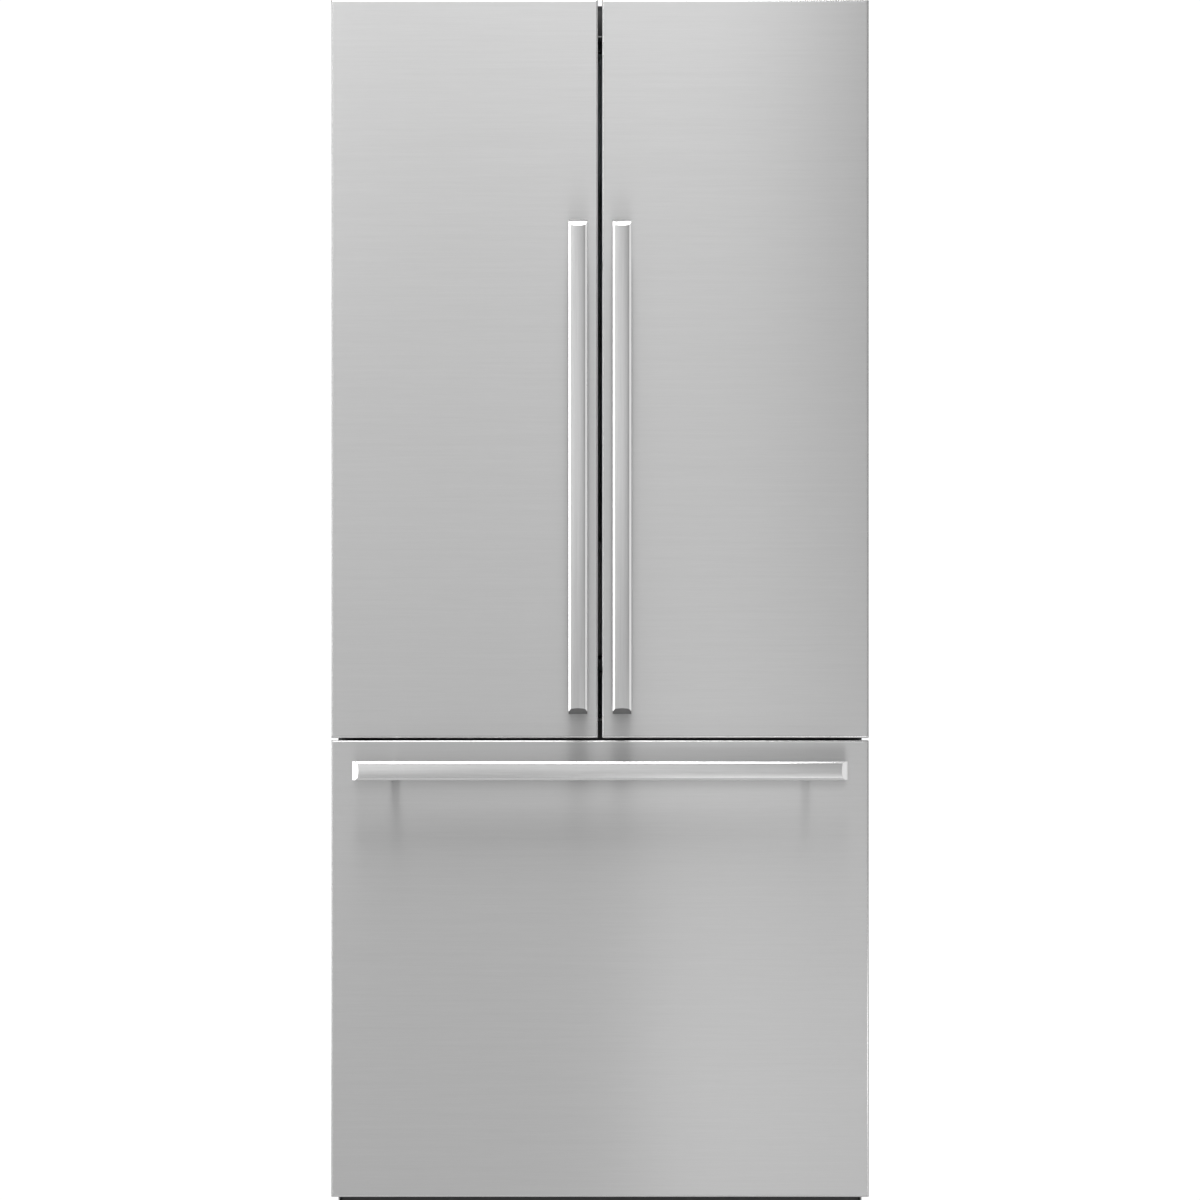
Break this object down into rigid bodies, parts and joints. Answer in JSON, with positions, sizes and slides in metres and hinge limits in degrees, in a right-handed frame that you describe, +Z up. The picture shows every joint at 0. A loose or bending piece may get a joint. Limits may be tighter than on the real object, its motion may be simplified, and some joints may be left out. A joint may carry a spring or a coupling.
{
  "type": "french door refrigerator",
  "caption": "Tall refrigerator with two hinged upper doors, long vertical bar handles and a full-width bottom freezer drawer.",
  "frame": {"origin": "centre of the footprint, on the floor", "axes": "+Z up, the doors face -Y, +X to the right seen from the front"},
  "size_m": [0.908, 0.67, 2.123],
  "materials": {
    "painted_steel": "satin light grey paint",
    "galvanised": "zinc-plated sheet",
    "dark_steel": "black paint",
    "foam": "rigid polyurethane foam",
    "door_core": "foamed slab with a dark grey painted skin",
    "liner": "vacuum-formed white plastic",
    "stainless": "brushed stainless steel, horizontal grain",
    "handle": "brushed stainless steel, polished bevels",
    "hinge": "black-painted plate",
    "cover": "dark grey moulded plastic",
    "black_plastic": "black moulded plastic",
    "copper": "copper tube with aluminium fins",
    "aluminium": "bare aluminium fins and tube",
    "lamp": "frosted lens",
    "glass": "clear toughened glass",
    "clear_plastic": "clear moulded plastic",
    "shelf_trim": "white moulded plastic",
    "slide_steel": "bright zinc-plated steel",
    "seal": "grey flexible vinyl",
    "roller": "nylon rollers on a steel axle"
  },
  "bodies": {
    "cabinet": {"cabinet_shell": "painted_steel", "back_panel": "galvanised", "base_frame": "dark_steel", "cabinet_insulation": "foam", "fridge_liner": "liner", "freezer_liner": "liner", "front_frame": "painted_steel", "top_hinges": "hinge", "centre_hinges": "dark_steel", "hinge_covers": "cover", "toe_grille": "dark_steel", "machine_cover": "galvanised", "compressor": "dark_steel", "condenser": "copper", "evaporator": "aluminium", "air_duct": "liner", "evaporator_cover": "liner", "fan_motors": "black_plastic", "fridge_lights": "lamp", "control_panel": "black_plastic", "shelf_supports": "slide_steel", "shelf_frames": "shelf_trim", "shelf_glass": "glass", "slide_outers": "slide_steel", "ice_maker": "shelf_trim", "power_inlet": "black_plastic", "cabinet_screws": "slide_steel"},
    "condenser_fan": {"condenser_fan": "black_plastic"},
    "evaporator_fan": {"evaporator_fan": "black_plastic"},
    "rear_rollers": {"rear_rollers": "roller"},
    "left_leg": {"left_leg": "slide_steel"},
    "right_leg": {"right_leg": "slide_steel"},
    "left_crisper": {"left_crisper": "clear_plastic"},
    "right_crisper": {"right_crisper": "clear_plastic"},
    "pantry_drawer": {"pantry_drawer": "clear_plastic"},
    "left_door": {"left_door_panel": "stainless", "left_door_body": "door_core", "left_door_liner": "liner", "left_door_gasket": "seal", "left_handle_bar": "handle", "left_handle_posts": "handle", "left_door_bins": "clear_plastic"},
    "flip_mullion": {"flip_mullion": "cover"},
    "right_door": {"right_door_panel": "stainless", "right_door_body": "door_core", "right_door_liner": "liner", "right_door_gasket": "seal", "right_handle_bar": "handle", "right_handle_posts": "handle", "right_door_bins": "clear_plastic"},
    "dairy_lid": {"dairy_lid": "clear_plastic"},
    "freezer_drawer": {"drawer_panel": "stainless", "drawer_body": "door_core", "drawer_gasket": "seal", "drawer_handle_bar": "handle", "drawer_handle_posts": "handle", "freezer_basket": "shelf_trim", "drawer_arms": "slide_steel"},
    "slide_middles": {"slide_middles": "slide_steel"},
    "upper_tray": {"upper_tray": "shelf_trim"}
  },
  "joints": [
    {"name": "left_door", "type": "hinge", "parent": "cabinet", "child": "left_door", "pos_m": [-0.432, -0.246, 0.877], "axis": [0, 0, -1], "range_deg": [0, 115]},
    {"name": "right_door", "type": "hinge", "parent": "cabinet", "child": "right_door", "pos_m": [0.432, -0.246, 0.877], "axis": [0, 0, 1], "range_deg": [0, 115]},
    {"name": "freezer_drawer", "type": "slide", "parent": "cabinet", "child": "freezer_drawer", "axis": [0, -1, 0], "range_m": [0, 0.45]},
    {"name": "slide_middles", "type": "slide", "parent": "cabinet", "child": "slide_middles", "axis": [0, -1, 0], "range_m": [0, 0.225]},
    {"name": "upper_tray", "type": "slide", "parent": "freezer_drawer", "child": "upper_tray", "axis": [0, 1, 0], "range_m": [0, 0.1]},
    {"name": "flip_mullion", "type": "hinge", "parent": "left_door", "child": "flip_mullion", "pos_m": [-0.033, -0.19, 0.924], "axis": [0, 0, 1], "range_deg": [-90, 0]},
    {"name": "dairy_lid", "type": "hinge", "parent": "right_door", "child": "dairy_lid", "pos_m": [0.225, -0.2005, 1.8586], "axis": [1, 0, 0], "range_deg": [0, 80]},
    {"name": "left_crisper", "type": "slide", "parent": "cabinet", "child": "left_crisper", "axis": [0, -1, 0], "range_m": [0, 0.08]},
    {"name": "right_crisper", "type": "slide", "parent": "cabinet", "child": "right_crisper", "axis": [0, -1, 0], "range_m": [0, 0.08]},
    {"name": "pantry_drawer", "type": "slide", "parent": "cabinet", "child": "pantry_drawer", "axis": [0, -1, 0], "range_m": [0, 0.08]},
    {"name": "condenser_fan", "type": "hinge", "parent": "cabinet", "child": "condenser_fan", "pos_m": [-0.105, 0.235, 0.146], "axis": [1, 0, 0], "continuous": true},
    {"name": "evaporator_fan", "type": "hinge", "parent": "cabinet", "child": "evaporator_fan", "pos_m": [0, 0.234, 0.745], "axis": [0, 1, 0], "continuous": true},
    {"name": "rear_rollers", "type": "hinge", "parent": "cabinet", "child": "rear_rollers", "pos_m": [0, 0.2705, 0.022], "axis": [1, 0, 0], "continuous": true},
    {"name": "left_leg", "type": "slide", "parent": "cabinet", "child": "left_leg", "axis": [0, 0, -1], "range_m": [0, 0.02]},
    {"name": "right_leg", "type": "slide", "parent": "cabinet", "child": "right_leg", "axis": [0, 0, -1], "range_m": [0, 0.02]}
  ],
  "couplings": [
    {"joint": "slide_middles", "follows": "freezer_drawer", "ratio": 0.5}
  ]
}
